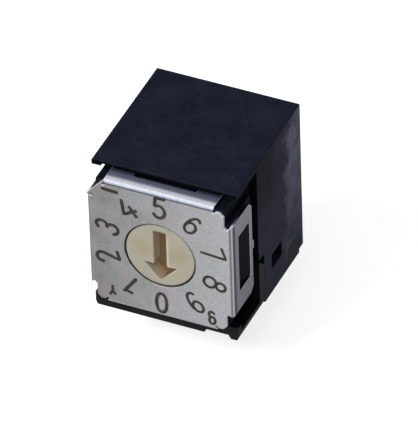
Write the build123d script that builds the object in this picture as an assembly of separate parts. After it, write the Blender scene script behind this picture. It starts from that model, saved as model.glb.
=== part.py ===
from build123d import *

import os

# Right-angle rotary coded switch with ten positions, soldered flat to a circuit board.
# A metal cover with four windowed flaps clips over a black housing, and a cream rotor with
# an arrow slot turns behind it. The unit stands on edge on a base, under a hood that also
# covers the terminals where they bend down to the board.
#
# Frame: X to the right seen from the front, Y to the back, Z up, in millimetres.
# The origin is the middle of the terminal grid, on the board's surface.
# A depth is measured back from the front face of the metal cover, and a height from the
# rotor axis. A margin, inset or rise is measured from the edge or face that it names.

# Overall sizes: the cover is square, and the hood and base are as wide as it is
BODY_WIDTH = 10.0
STANDOFF = 0.28
SLAB_THICKNESS = 0.3
COVER_RISE = 0.42
HOOD_RISE = 0.7

# Terminals on the board's grid
TERMINAL_PITCH = 2.54
ROW_PITCH = 2.54
ROW_SETBACK = 1.3
TERMINAL_WIDTH = 0.5
TERMINAL_THICKNESS = 0.25
PIN_LENGTH = 3.2
PIN_POINT = 0.09
HEAD_HEIGHT = 2.54
HEAD_START = 1.8
HEAD_BEND = 0.3
LEG_BEND = 0.5

# Metal cover
SHEET = 0.2
BEND_RADIUS = 0.3
FLAP_DEPTH = 3.2
SIDE_FLAP_MARGIN = 1.4
TOP_FLAP_MARGIN = 1.2
FLAP_CHAMFER = 0.38
BUMP_SPAN = 0.6
BUMP_HEIGHT = 0.2
WINDOW_FRONT = 1.1
WINDOW_RIM = 0.35
WINDOW_SPAN = 4.4
TAB_SIDE_INSET = 0.5
TAB_END_INSET = 0.28
TAB_CHAMFER = 0.26
RELIEF_RADIUS = 0.13

# Switch housing
COVER_FIT = 0.03
FRONT_CHAMFER = 0.12
CORNER_CUT_WIDTH = 0.32
CORNER_CUT_HEIGHT = 0.94
STEP_GAP = 0.1
PLUG_FIT = 0.05
PLUG_CORNER = 0.3
PLUG_RIM = 0.05
CAVITY_WALL = 1.02
CAVITY_FRONT = 1.5
RECESS_WALL = 0.5
RECESS_CORNER = 0.5
POCKET_HALF_WIDTH = 3.4
POCKET_WALL = 0.62
LUG_MARGIN = 0.2
LUG_GAP = 0.06
LUG_CREST = 0.2
LUG_END_BEVEL = 0.35

# Rotor and its bearing
NECK_RADIUS = 2.41
HOLE_GAP = 0.09
ROTOR_CLEARANCE = 0.05
FACE_RECESS = 0.05
FACE_CHAMFER = 0.06
WHEEL_GAP = 0.4
WHEEL_THICKNESS = 1.2
POSITIONS = 10
NOTCH_RADIUS = 0.55
NOTCH_OFFSET = 0.2
NOTCH_ROUNDING = 0.12
HUB_RADIUS = 0.7
STUB_RADIUS = 0.55
ARROW_DEPTH = 0.9
ARROW_TOP = 1.88
ARROW_SHOULDER = -0.8
ARROW_TIP = -2.01
SHAFT_HALF_WIDTH = 0.45
HEAD_HALF_WIDTH = 1.15
ARROW_ROUNDING = 0.05

# Rotor seal
SEAL_SECTION = 0.44
SEAL_FIT = 0.02
SEAL_CHAMFER = 0.1

# Detent spring
LEAF_THICKNESS = 0.12
LEAF_WIDTH = 0.9
LEAF_END_GAP = 0.2
LEAF_RISE = 0.25
NOSE_INSET = 0.05
NOSE_RADIUS = 0.3
NOSE_GAP = 0.03

# Code disc and wipers
DISC_INSET = 0.25
DISC_THICKNESS = 0.2
DISC_FIT = 0.02
TRACK_THICKNESS = 0.05
TRACK_INNER = 0.95
TRACK_EDGE = 0.15
BAND_MARGIN_ANGLE = 5.0
WIPER_SPACE = 0.8
WIPER_THICKNESS = 0.08
WIPER_WIDTH = 0.3
WIPER_FOOT = 0.5
WIPER_TIP = 0.25
CONTACT_GAP = 0.02

# Contact carrier and potting
CARRIER_THICKNESS = 0.95
CARRIER_FIT = 0.04
CARRIER_FLOOR = 0.25
POTTING_THICKNESS = 0.4

# Hood
HOOD_WALL = 0.5
HOOD_ROOF = 0.4
HOOD_SETBACK = 2.0
ROOF_FRONT = 0.94
ROOF_LIP = 0.2
ROOF_LIP_DEPTH = 0.9
ROOF_END = 0.65
WALL_SETBACK = 0.6
WALL_STEP_DEPTH = 0.8
WALL_STEP_HEIGHT = -2.0
SLOT_SETBACK = 0.85
SLOT_LENGTH = 1.58
SLOT_RISE = 1.29
SLOT_HEIGHT = 1.15
NOTCH_SETBACK = 0.64
NOTCH_LENGTH = 1.8
NOTCH_HEIGHT = 1.55
HOOD_EDGE_ROUNDING = 0.1
CATCH_SPAN = 5.0
CATCH_INSET = 0.05
CATCH_WIDTH = 0.3
CATCH_HEIGHT = 0.15
RIB_WIDTH = 0.5
RIB_OFFSET = 2.8
STOP_GAP = 0.05
STOP_DEPTH = 0.5
STOP_HEIGHT = 0.3
STOP_SPAN = 6.6

# Base
BASE_FRONT = 0.7
BASE_FIT = 0.05
SKID_WIDTH = 0.5
FOOT_WIDTH = 0.55
FOOT_GAP = 1.68
FOOT_SLOPE = 0.18
SKID_BEVEL = 0.12
POST_INSET = 0.02
POST_GAP = 0.15
POST_SLOPE = 0.7
LIP_HEIGHT = 0.44
LIP_DEPTH = 0.45
CRADLE_WIDTH = 0.5
CRADLE_OFFSET = 2.4
CRADLE_FRONT = 1.3
CRADLE_LENGTH = 2.0
REST_SETBACK = 0.8
REST_INSET = 0.2
REST_MARGIN = 0.9
BACKSTOP_HEIGHT = 1.52
GUIDE_HEIGHT = 0.5
GUIDE_MARGIN = 0.7
PIN_CLEARANCE = 0.06

# How far a cutting profile runs past the face it cuts, and the angle of 12 o'clock
OVERCUT = 1.0
TOP_ANGLE = 90

# The rings of the code disc from the inside out, and the bits by their weight.
RINGS = ["bit_8", "common", "bit_1", "bit_2", "bit_4"]
BITS = ["bit_1", "bit_2", "bit_4", "bit_8"]

# Each contact: its terminal's column and row, its ring, and the clock angle of its wiper's
# tip. The row is 1 over the axis and -1 under it.
CONTACTS = {
    "bit_1": {"column": -1, "row": 1, "ring": "bit_1", "clock_angle": 320},
    "common_upper": {"column": 0, "row": 1, "ring": "common", "clock_angle": 29},
    "bit_2": {"column": 1, "row": 1, "ring": "bit_2", "clock_angle": 69},
    "bit_4": {"column": -1, "row": -1, "ring": "bit_4", "clock_angle": 252},
    "common_lower": {"column": 0, "row": -1, "ring": "common", "clock_angle": 209},
    "bit_8": {"column": 1, "row": -1, "ring": "bit_8", "clock_angle": 124},
}

# Half widths that follow from those above
HALF_BODY = BODY_WIDTH / 2
HOUSING_HALF = HALF_BODY - SHEET - COVER_FIT
HOOD_INNER = HALF_BODY - HOOD_WALL
PLUG_HALF = HOOD_INNER - PLUG_FIT
RECESS_HALF = PLUG_HALF - RECESS_WALL
SIDE_FLAP_SPAN = BODY_WIDTH - 2 * SIDE_FLAP_MARGIN
TOP_FLAP_SPAN = BODY_WIDTH - 2 * TOP_FLAP_MARGIN
LUG_SPAN = WINDOW_SPAN - 2 * LUG_MARGIN

# Radii that follow
HOLE_RADIUS = NECK_RADIUS + HOLE_GAP
NECK_BORE = NECK_RADIUS + ROTOR_CLEARANCE
CAVITY_RADIUS = HOUSING_HALF - CAVITY_WALL
WHEEL_RADIUS = CAVITY_RADIUS - WHEEL_GAP
NOTCH_CENTRE = WHEEL_RADIUS + NOTCH_OFFSET
DISC_RADIUS = WHEEL_RADIUS - DISC_INSET
TRACK_WIDTH = (DISC_RADIUS - TRACK_EDGE - TRACK_INNER) / len(RINGS)
SEAL_BORE = NECK_RADIUS + SEAL_SECTION + 2 * SEAL_FIT

# Depths that follow, from the front to the back
SEAL_SEAT = SHEET + SEAL_SECTION + 2 * SEAL_FIT
WINDOW_BACK = FLAP_DEPTH - WINDOW_RIM
LUG_FRONT = WINDOW_FRONT + LUG_MARGIN
WHEEL_FRONT = CAVITY_FRONT + ROTOR_CLEARANCE
WHEEL_BACK = WHEEL_FRONT + WHEEL_THICKNESS
DISC_BACK = WHEEL_BACK + DISC_THICKNESS
TRACK_BACK = DISC_BACK + TRACK_THICKNESS
STEP_DEPTH = FLAP_DEPTH + BUMP_HEIGHT + STEP_GAP
CARRIER_FRONT = TRACK_BACK + WIPER_SPACE
CARRIER_BACK = CARRIER_FRONT + CARRIER_THICKNESS
BORE_BACK = CARRIER_BACK - CARRIER_FLOOR
HOUSING_DEPTH = CARRIER_BACK + POTTING_THICKNESS + PLUG_RIM
WALL_FRONT = STEP_DEPTH + WALL_SETBACK
WALL_STEP = WALL_FRONT + WALL_STEP_DEPTH
CATCH_FRONT = WALL_FRONT + CATCH_INSET
CATCH_BACK = CATCH_FRONT + CATCH_WIDTH
STOP_FRONT = HOUSING_DEPTH + STOP_GAP
STOP_BACK = STOP_FRONT + STOP_DEPTH
FRONT_ROW_DEPTH = HOUSING_DEPTH + ROW_SETBACK
REAR_ROW_DEPTH = FRONT_ROW_DEPTH + ROW_PITCH
GRID_DEPTH = (FRONT_ROW_DEPTH + REAR_ROW_DEPTH) / 2
HOOD_BACK = REAR_ROW_DEPTH + HOOD_SETBACK
BACK_WALL_FRONT = HOOD_BACK - HOOD_WALL
NOTCH_BACK = HOOD_BACK - NOTCH_SETBACK
NOTCH_FRONT = NOTCH_BACK - NOTCH_LENGTH

# Heights that follow, from the board to the roof
BOARD = -HALF_BODY - COVER_RISE - SLAB_THICKNESS - STANDOFF
AXIS_HEIGHT = -BOARD
SLAB_LOW = BOARD + STANDOFF
SLAB_HIGH = SLAB_LOW + SLAB_THICKNESS
NOTCH_HIGH = BOARD + NOTCH_HEIGHT
POCKET_TOP = HOUSING_HALF - POCKET_WALL
HOOD_TOP = HALF_BODY + HOOD_RISE
ROOF_LOW = HOOD_TOP - HOOD_ROOF


def at(depth):
    """Y of a depth behind the front face of the cover."""
    return depth - GRID_DEPTH


def front_plane(depth):
    """Plane across the rotor axis: X to the right, Z up, facing the front."""
    return Plane(origin=(0, at(depth), AXIS_HEIGHT), x_dir=(1, 0, 0), z_dir=(0, -1, 0))


def block(profile, front, back):
    """A profile drawn in X and height, carried between two depths."""
    return extrude(front_plane(back) * profile, amount=back - front, dir=(0, -1, 0))


def slab(profile, low, high):
    """A profile drawn in X and depth, carried between two heights."""
    return extrude(Pos(0, at(0), AXIS_HEIGHT + low) * profile, amount=high - low, dir=(0, 0, 1))


def side(profile, left, right):
    """A profile drawn in depth and height, carried between two X."""
    plane = Plane(origin=(left, at(0), AXIS_HEIGHT), x_dir=(0, 1, 0), z_dir=(1, 0, 0))
    return extrude(plane * profile, amount=right - left, dir=(1, 0, 0))


def turned(profile):
    """A profile drawn in radius and depth, turned about the rotor axis."""
    axis = Axis((0, 0, AXIS_HEIGHT), (0, 1, 0))
    return revolve(Pos(0, at(0), AXIS_HEIGHT) * profile, axis=axis)


def about_axis(solid, angle):
    """The solid turned about the rotor axis, clockwise seen from the front."""
    return Pos(0, 0, AXIS_HEIGHT) * Rot(0, angle, 0) * Pos(0, 0, -AXIS_HEIGHT) * solid


def outline(*points):
    """A closed outline through the points."""
    return Polygon(*points, align=None)


def box_profile(left, right, low, high):
    """A rectangle given by its sides."""
    return Pos((left + right) / 2, (low + high) / 2) * Rectangle(right - left, high - low)


def across(half, low, high):
    """A rectangle across the middle, given by its half width and its other two sides."""
    return box_profile(-half, half, low, high)


def on_both_sides(solid):
    """The solid and its mirror image across the middle plane."""
    return solid + mirror(solid, about=Plane.YZ)


def rounded_square(half, radius):
    """A square of the given half width with rounded corners."""
    return RectangleRounded(2 * half, 2 * half, radius)


def plate_outline():
    """The flat front of the cover: bend roots, corner tabs and one slanted key corner."""
    bend_line = HALF_BODY - BEND_RADIUS
    plate = Rectangle(2 * bend_line, SIDE_FLAP_SPAN) + Rectangle(TOP_FLAP_SPAN, 2 * bend_line)
    tabs = Rectangle(BODY_WIDTH - 2 * TAB_SIDE_INSET, BODY_WIDTH - 2 * TAB_END_INSET)
    plate += chamfer(tabs.vertices(), TAB_CHAMFER)
    key = outline(
        (-HALF_BODY, 0),
        (-HALF_BODY, SIDE_FLAP_SPAN / 2),
        (-TOP_FLAP_SPAN / 2, HALF_BODY),
        (0, HALF_BODY),
        (0, 0),
    )
    corner = box_profile(-HALF_BODY, -TOP_FLAP_SPAN / 2, SIDE_FLAP_SPAN / 2, HALF_BODY)
    plate = (plate - corner) + (corner & key)
    return plate - Circle(HOLE_RADIUS)


def flap_reliefs():
    """Round holes that free the ends of each bend."""
    bend_line = HALF_BODY - BEND_RADIUS
    ends = [(bend_line, SIDE_FLAP_SPAN / 2), (TOP_FLAP_SPAN / 2, bend_line)]
    spots = [(x * i, z * j) for x, z in ends for i in (-1, 1) for j in (-1, 1)]
    return Sketch() + [Pos(x, z) * Circle(RELIEF_RADIUS) for x, z in spots]


def flap(span, bump):
    """The right-hand flap: a bent strip with cut corners and a catch window."""
    end = FLAP_DEPTH + bump
    root = HALF_BODY - 2 * BEND_RADIUS
    inside = HALF_BODY - SHEET
    strip = outline(
        (root, 0),
        (HALF_BODY, 0),
        (HALF_BODY, end),
        (inside, end),
        (inside, SHEET),
        (root, SHEET),
    )
    strip = fillet(strip.vertices().sort_by_distance((HALF_BODY, 0))[0], BEND_RADIUS)
    inner = strip.vertices().sort_by_distance((inside, SHEET))[0]
    strip = fillet(inner, BEND_RADIUS - SHEET)
    face = box_profile(-OVERCUT, FLAP_DEPTH, -span / 2, span / 2)
    face = chamfer(face.vertices().group_by(Axis.X)[-1], FLAP_CHAMFER)
    if bump:
        face += box_profile(0, end, -BUMP_SPAN / 2, BUMP_SPAN / 2)
    face -= box_profile(WINDOW_FRONT, WINDOW_BACK, -WINDOW_SPAN / 2, WINDOW_SPAN / 2)
    bent = slab(strip, -span / 2, span / 2)
    return bent & side(face, root - OVERCUT, HALF_BODY + OVERCUT)


def cover_plate():
    """Stamped cover: the printed front, its rotor hole and four folded flaps."""
    cover = block(plate_outline(), 0, SHEET)
    for angle in (0, 180):
        cover += about_axis(flap(SIDE_FLAP_SPAN, BUMP_HEIGHT), angle)
    for angle in (90, 270):
        cover += about_axis(flap(TOP_FLAP_SPAN, 0), angle)
    return cover - block(flap_reliefs(), 0, BEND_RADIUS)


def catch_lug():
    """Wedge on the right of the housing that snaps into a flap's window."""
    back = WINDOW_BACK - LUG_GAP
    root = HOUSING_HALF - SHEET
    crest = HALF_BODY - COVER_FIT
    wedge = outline(
        (root, LUG_FRONT),
        (HOUSING_HALF, LUG_FRONT),
        (crest, back - LUG_CREST),
        (crest, back),
        (root, back),
    )
    half = LUG_SPAN / 2
    ends = outline(
        (LUG_FRONT, half - LUG_END_BEVEL),
        (back - LUG_END_BEVEL, half),
        (back, half),
        (back, -half),
        (back - LUG_END_BEVEL, -half),
        (LUG_FRONT, LUG_END_BEVEL - half),
    )
    return slab(wedge, -half, half) & side(ends, 0, HALF_BODY)


def catch_groove():
    """Grooves in the sides of the plug, for the hood's inner catches."""
    bottom = HOOD_INNER - CATCH_HEIGHT - 2 * PLUG_FIT
    groove = box_profile(bottom, HALF_BODY, CATCH_FRONT - PLUG_FIT, CATCH_BACK + PLUG_FIT)
    half = CATCH_SPAN / 2 + PLUG_FIT
    return on_both_sides(slab(groove, -half, half))


def switch_housing():
    """Black case: four catch lugs, the rotor's bore, seal seat and cavity, and a rear plug."""
    body = Rectangle(2 * HOUSING_HALF, 2 * (HOUSING_HALF - CORNER_CUT_HEIGHT))
    body += Rectangle(2 * (HOUSING_HALF - CORNER_CUT_WIDTH), 2 * HOUSING_HALF)
    housing = block(body, SHEET, STEP_DEPTH)
    housing = chamfer(housing.edges().group_by(Axis.Y)[0], FRONT_CHAMFER)
    housing += block(rounded_square(PLUG_HALF, PLUG_CORNER), STEP_DEPTH, HOUSING_DEPTH)
    for angle in (0, 90, 180, 270):
        housing += about_axis(catch_lug(), angle)
    cavity = Circle(CAVITY_RADIUS) + across(POCKET_HALF_WIDTH, 0, POCKET_TOP)
    feet = Rectangle(2 * (TERMINAL_PITCH + WIPER_FOOT / 2), 2 * (HEAD_START + WIPER_FOOT))
    housing -= block(Circle(SEAL_BORE), SHEET, SEAL_SEAT)
    housing -= block(Circle(NECK_BORE), SHEET, CAVITY_FRONT)
    housing -= block(cavity, CAVITY_FRONT, CARRIER_FRONT)
    housing -= block(feet, TRACK_BACK, CARRIER_FRONT)
    housing -= block(rounded_square(RECESS_HALF, RECESS_CORNER), CARRIER_FRONT, HOUSING_DEPTH)
    return housing - catch_groove()


def arrow_outline():
    """Arrow that points down, at the 0 of the dial."""
    arrow = outline(
        (-SHAFT_HALF_WIDTH, ARROW_TOP),
        (-SHAFT_HALF_WIDTH, ARROW_SHOULDER),
        (-HEAD_HALF_WIDTH, ARROW_SHOULDER),
        (0, ARROW_TIP),
        (HEAD_HALF_WIDTH, ARROW_SHOULDER),
        (SHAFT_HALF_WIDTH, ARROW_SHOULDER),
        (SHAFT_HALF_WIDTH, ARROW_TOP),
    )
    return fillet(arrow.vertices(), ARROW_ROUNDING)


def hub_profile(fit):
    """Round hub with two flats as far apart as the stub is wide, which drives the disc."""
    flats = Rectangle(2 * (STUB_RADIUS + fit), 2 * (HUB_RADIUS + fit))
    return Circle(HUB_RADIUS + fit) & flats


def rotor():
    """Moulded rotor: slotted face, neck, ten-notch detent wheel and rear stub."""
    neck = outline(
        (0, FACE_RECESS),
        (NECK_RADIUS - FACE_CHAMFER, FACE_RECESS),
        (NECK_RADIUS, FACE_RECESS + FACE_CHAMFER),
        (NECK_RADIUS, WHEEL_FRONT),
        (0, WHEEL_FRONT),
    )
    notches = PolarLocations(NOTCH_CENTRE, POSITIONS, TOP_ANGLE) * Circle(NOTCH_RADIUS)
    wheel = Circle(WHEEL_RADIUS) - notches
    wheel = fillet(wheel.vertices(), NOTCH_ROUNDING)
    body = turned(neck) + block(wheel, WHEEL_FRONT, WHEEL_BACK)
    body += block(hub_profile(0), WHEEL_BACK, DISC_BACK)
    body += block(Circle(STUB_RADIUS), DISC_BACK, BORE_BACK - ROTOR_CLEARANCE)
    return body - block(arrow_outline(), 0, FACE_RECESS + ARROW_DEPTH)


def rotor_seal():
    """Rubber ring of square section round the rotor's neck, under the metal cover."""
    inner = NECK_RADIUS + SEAL_FIT
    front = SHEET + SEAL_FIT
    section = box_profile(inner, inner + SEAL_SECTION, front, front + SEAL_SECTION)
    return turned(chamfer(section.vertices(), SEAL_CHAMFER))


def detent_spring():
    """Leaf spring over the wheel, with a nose that drops in a notch."""
    rest = WHEEL_RADIUS + LEAF_THICKNESS
    nose = NOTCH_CENTRE - NOTCH_RADIUS + NOSE_GAP + LEAF_THICKNESS / 2
    nose_half = NOTCH_RADIUS - NOSE_INSET
    end = POCKET_TOP - COVER_FIT - LEAF_THICKNESS / 2
    half = POCKET_HALF_WIDTH - LEAF_END_GAP
    path = FilletPolyline(
        (-half, end),
        (LEAF_RISE - half, rest + LEAF_RISE),
        (-nose_half, rest),
        (0, nose),
        (nose_half, rest),
        (half - LEAF_RISE, rest + LEAF_RISE),
        (half, end),
        radius=[LEAF_THICKNESS, NOSE_RADIUS, NOSE_RADIUS, NOSE_RADIUS, LEAF_THICKNESS],
    )
    middle = (WHEEL_FRONT + WHEEL_BACK) / 2
    leaf = trace(path, line_width=LEAF_THICKNESS)
    return block(leaf, middle - LEAF_WIDTH / 2, middle + LEAF_WIDTH / 2)


def code_disc():
    """Insulating disc that carries the tracks behind the rotor."""
    return block(Circle(DISC_RADIUS) - hub_profile(DISC_FIT), WHEEL_BACK, DISC_BACK)


def ring_inner(ring):
    """Inner radius of a ring of the code disc."""
    return TRACK_INNER + RINGS.index(ring) * TRACK_WIDTH


def ring_band(ring, start, end):
    """Part of a ring between two clock angles, in degrees clockwise from the top."""
    inner = ring_inner(ring)
    wide = CenterArc((0, 0), inner + TRACK_WIDTH, TOP_ANGLE - end, end - start)
    narrow = CenterArc((0, 0), inner, TOP_ANGLE - end, end - start)
    return make_face([wide, Line(wide @ 1, narrow @ 1), narrow, Line(narrow @ 0, wide @ 0)])


def coded_runs(bit):
    """First and last of each run of positions in which a bit is on."""
    on = [position for position in range(POSITIONS) if position >> BITS.index(bit) & 1]
    firsts = [position for position in on if position - 1 not in on]
    lasts = [position for position in on if position + 1 not in on]
    return zip(firsts, lasts)


def coded_bands(bit):
    """The conducting bands of one bit, under its wiper in the positions where it is on."""
    start = CONTACTS[bit]["clock_angle"]
    step = 360 / POSITIONS
    bands = []
    for first, last in coded_runs(bit):
        low = start - step * (last + 0.5) + BAND_MARGIN_ANGLE
        high = start - step * (first - 0.5) - BAND_MARGIN_ANGLE
        bands.append(ring_band(bit, low, high))
    return bands


def code_tracks():
    """Plated pattern: the common ring with the bands of the four bits grown from it."""
    inner = ring_inner("common")
    pattern = Circle(inner + TRACK_WIDTH) - Circle(inner)
    for bit in BITS:
        pattern += coded_bands(bit)
    return block(pattern, DISC_BACK, TRACK_BACK)


def leg_place(contact):
    """X and depth of a terminal's leg: the upper terminals go to the rear row."""
    depth = REAR_ROW_DEPTH if contact["row"] > 0 else FRONT_ROW_DEPTH
    return contact["column"] * TERMINAL_PITCH, depth


def terminal(contact):
    """One terminal: a head flush in the carrier, a level run and a leg down to the board."""
    x, leg_depth = leg_place(contact)
    head_depth = CARRIER_FRONT + TERMINAL_THICKNESS / 2
    run_height = contact["row"] * HEAD_HEIGHT
    path = FilletPolyline(
        (head_depth, contact["row"] * HEAD_START),
        (head_depth, run_height),
        (leg_depth, run_height),
        (leg_depth, BOARD - PIN_LENGTH),
        radius=[HEAD_BEND, LEG_BEND],
    )
    strip = trace(path, line_width=TERMINAL_THICKNESS)
    bar = side(strip, x - TERMINAL_WIDTH / 2, x + TERMINAL_WIDTH / 2)
    tip = bar.faces().sort_by(Axis.Z)[0]
    return chamfer(tip.edges(), PIN_POINT)


def wiper(contact):
    """Leaf finger from a terminal's head to its ring, bent up at its tip."""
    heel_x = contact["column"] * TERMINAL_PITCH
    heel = Vector(heel_x, contact["row"] * (HEAD_START + WIPER_FOOT / 2))
    radius = ring_inner(contact["ring"]) + TRACK_WIDTH / 2
    tip = Vector(0, radius).rotate(Axis.Z, -contact["clock_angle"])
    reach = (tip - heel).length
    along = (tip - heel).normalized()
    foot_depth = CARRIER_FRONT - WIPER_THICKNESS
    touch = TRACK_BACK + CONTACT_GAP
    line = [
        (-WIPER_FOOT / 2, foot_depth),
        (WIPER_FOOT / 2, foot_depth),
        (reach - WIPER_TIP / 2, touch),
        (reach + WIPER_TIP / 2, touch),
        (reach + WIPER_TIP, touch + WIPER_THICKNESS),
    ]
    under = [(run, depth + WIPER_THICKNESS) for run, depth in reversed(line)]
    plane = Plane(
        origin=(heel.X, at(0), AXIS_HEIGHT + heel.Y),
        x_dir=(along.X, 0, along.Y),
        z_dir=(-along.Y, 0, along.X),
    )
    return extrude(plane * outline(*line, *under), amount=WIPER_WIDTH / 2, both=True)


def contact_carrier(terminals):
    """Moulded plate that closes the housing, holds the terminals and bears the rotor's stub."""
    plate = rounded_square(RECESS_HALF - CARRIER_FIT, RECESS_CORNER)
    carrier = block(plate, CARRIER_FRONT, CARRIER_BACK)
    carrier -= block(Circle(STUB_RADIUS + ROTOR_CLEARANCE), CARRIER_FRONT, BORE_BACK)
    return carrier - terminals


def potting(terminals):
    """Resin that seals the terminals at the back of the unit."""
    pool = rounded_square(RECESS_HALF, RECESS_CORNER)
    return block(pool, CARRIER_BACK, CARRIER_BACK + POTTING_THICKNESS) - terminals


def hood_wall():
    """Outline of a side wall: stepped front edge, slot and the notch of the base's lug."""
    wall = outline(
        (WALL_FRONT, HOOD_TOP),
        (WALL_FRONT, WALL_STEP_HEIGHT),
        (WALL_STEP, WALL_STEP_HEIGHT),
        (WALL_STEP, BOARD),
        (NOTCH_BACK, BOARD),
        (NOTCH_BACK, SLAB_LOW),
        (HOOD_BACK, SLAB_LOW),
        (HOOD_BACK, HOOD_TOP),
    )
    slot_front = HOUSING_DEPTH + SLOT_SETBACK
    slot_low = SLAB_HIGH + SLOT_RISE
    wall -= box_profile(slot_front, slot_front + SLOT_LENGTH, slot_low, slot_low + SLOT_HEIGHT)
    return wall - box_profile(NOTCH_FRONT, NOTCH_BACK, BOARD, NOTCH_HIGH)


def hood_roof():
    """Roof that overhangs the front, with the underside of its front edge cut back."""
    roof = slab(across(HALF_BODY, ROOF_FRONT, HOOD_BACK), ROOF_LOW, HOOD_TOP)
    cut = across(HALF_BODY - ROOF_END, 0, ROOF_FRONT + ROOF_LIP_DEPTH)
    return roof - slab(cut, ROOF_LOW, HOOD_TOP - ROOF_LIP)


def hood():
    """Outer cover: roof, side walls and back wall, with the fittings that hold the unit."""
    shell = hood_roof() + on_both_sides(side(hood_wall(), HOOD_INNER, HALF_BODY))
    shell += slab(across(HALF_BODY, BACK_WALL_FRONT, HOOD_BACK), SLAB_LOW, HOOD_TOP)
    rear = shell.edges().filter_by(Axis.Z).group_by(Axis.Y)[-1]
    top = shell.edges().group_by(Axis.Z)[-1]
    shell = fillet(rear + top, HOOD_EDGE_ROUNDING)
    root = HOOD_INNER + CATCH_HEIGHT
    catch = box_profile(HOOD_INNER - CATCH_HEIGHT, root, CATCH_FRONT, CATCH_BACK)
    shell += on_both_sides(slab(catch, WALL_STEP_HEIGHT, CATCH_SPAN / 2))
    stop = box_profile(HOOD_INNER - STOP_HEIGHT, root, STOP_FRONT, STOP_BACK)
    shell += on_both_sides(slab(stop, -STOP_SPAN / 2, STOP_SPAN / 2))
    half = RIB_WIDTH / 2
    rib = box_profile(RIB_OFFSET - half, RIB_OFFSET + half, WALL_FRONT, HOUSING_DEPTH)
    return shell + on_both_sides(slab(rib, PLUG_HALF + COVER_FIT, ROOF_LOW))


def pin_slots():
    """Slots in the base for the six legs."""
    slot = Rectangle(TERMINAL_WIDTH + 2 * PIN_CLEARANCE, TERMINAL_THICKNESS + 2 * PIN_CLEARANCE)
    return Sketch() + [Pos(*leg_place(contact)) * slot for contact in CONTACTS.values()]


def skids():
    """Feet with slanted sides: a front bar with a gap at the right, side bars and a rear bar."""
    foot_start = HALF_BODY - FOOT_WIDTH
    bar_end = foot_start - FOOT_GAP
    front = outline(
        (-HALF_BODY, SLAB_LOW),
        (SKID_BEVEL - HALF_BODY, BOARD),
        (bar_end - FOOT_SLOPE, BOARD),
        (bar_end, SLAB_LOW),
    )
    foot = outline(
        (foot_start - FOOT_SLOPE, SLAB_LOW),
        (foot_start, BOARD),
        (HALF_BODY - SKID_BEVEL, BOARD),
        (HALF_BODY, SLAB_LOW),
    )
    side_bar = outline(
        (HALF_BODY - SKID_WIDTH, SLAB_LOW),
        (HALF_BODY - SKID_WIDTH, BOARD),
        (HALF_BODY - SKID_BEVEL, BOARD),
        (HALF_BODY, SLAB_LOW),
    )
    feet = block(front + foot, BASE_FRONT, BASE_FRONT + SKID_WIDTH)
    feet += on_both_sides(block(side_bar, BASE_FRONT, WALL_STEP - BASE_FIT))
    rear = BACK_WALL_FRONT - BASE_FIT
    rear_bar = across(HOOD_INNER - BASE_FIT, rear - SKID_WIDTH, rear)
    return feet + slab(rear_bar, BOARD, SLAB_LOW)


def base_slab():
    """Floor of the base: as wide as the cover in front, and inside the hood behind."""
    wide = across(HALF_BODY, BASE_FRONT, WALL_STEP - BASE_FIT)
    narrow = across(HOOD_INNER - BASE_FIT, STEP_DEPTH, BACK_WALL_FRONT - BASE_FIT)
    return slab(wide + narrow, SLAB_LOW, SLAB_HIGH)


def base_sides():
    """What stands at both sides of the base: corner lips, posts and the hood's rear lugs."""
    flap_end = TOP_FLAP_SPAN / 2 + BASE_FIT
    lip = box_profile(flap_end, HALF_BODY, BASE_FRONT, BASE_FRONT + LIP_DEPTH)
    post_front = WALL_FRONT + POST_INSET
    post_back = WALL_STEP - BASE_FIT
    post_high = WALL_STEP_HEIGHT - POST_GAP
    post = outline(
        (post_front, SLAB_LOW),
        (post_front, post_high),
        (post_back, post_high - POST_SLOPE),
        (post_back, SLAB_LOW),
    )
    lug = box_profile(NOTCH_FRONT + BASE_FIT, NOTCH_BACK - BASE_FIT, BOARD, NOTCH_HIGH - BASE_FIT)
    right = slab(lip, SLAB_LOW, SLAB_HIGH + LIP_HEIGHT) + side(post, HOOD_INNER, HALF_BODY)
    return on_both_sides(right + side(lug, HOOD_INNER - BASE_FIT - SKID_WIDTH, HALF_BODY))


def base_supports():
    """What carries the unit and guides the legs: cradle ribs, rest, backstop and guide block."""
    half = CRADLE_WIDTH / 2
    cradle_back = CRADLE_FRONT + CRADLE_LENGTH
    cradle = box_profile(CRADLE_OFFSET - half, CRADLE_OFFSET + half, CRADLE_FRONT, cradle_back)
    supports = on_both_sides(slab(cradle, SLAB_LOW, -HALF_BODY))
    rest_half = HOOD_INNER - REST_MARGIN
    rest = across(rest_half, STEP_DEPTH + REST_SETBACK, HOUSING_DEPTH - REST_INSET)
    supports += slab(rest, SLAB_LOW, -PLUG_HALF - COVER_FIT)
    backstop = across(rest_half, STOP_FRONT, STOP_BACK)
    supports += slab(backstop, SLAB_LOW, SLAB_HIGH + BACKSTOP_HEIGHT)
    guide_half = TERMINAL_PITCH + TERMINAL_WIDTH / 2 + GUIDE_MARGIN
    guide = across(guide_half, FRONT_ROW_DEPTH - GUIDE_MARGIN, REAR_ROW_DEPTH + GUIDE_MARGIN)
    return supports + slab(guide, SLAB_LOW, SLAB_HIGH + GUIDE_HEIGHT)


def base():
    """Lower case: a slab on feet, with all that stands on it and the slots of the legs."""
    body = base_slab() + skids() + base_sides() + base_supports()
    return body - slab(pin_slots(), BOARD, SLAB_HIGH + GUIDE_HEIGHT)


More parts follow.
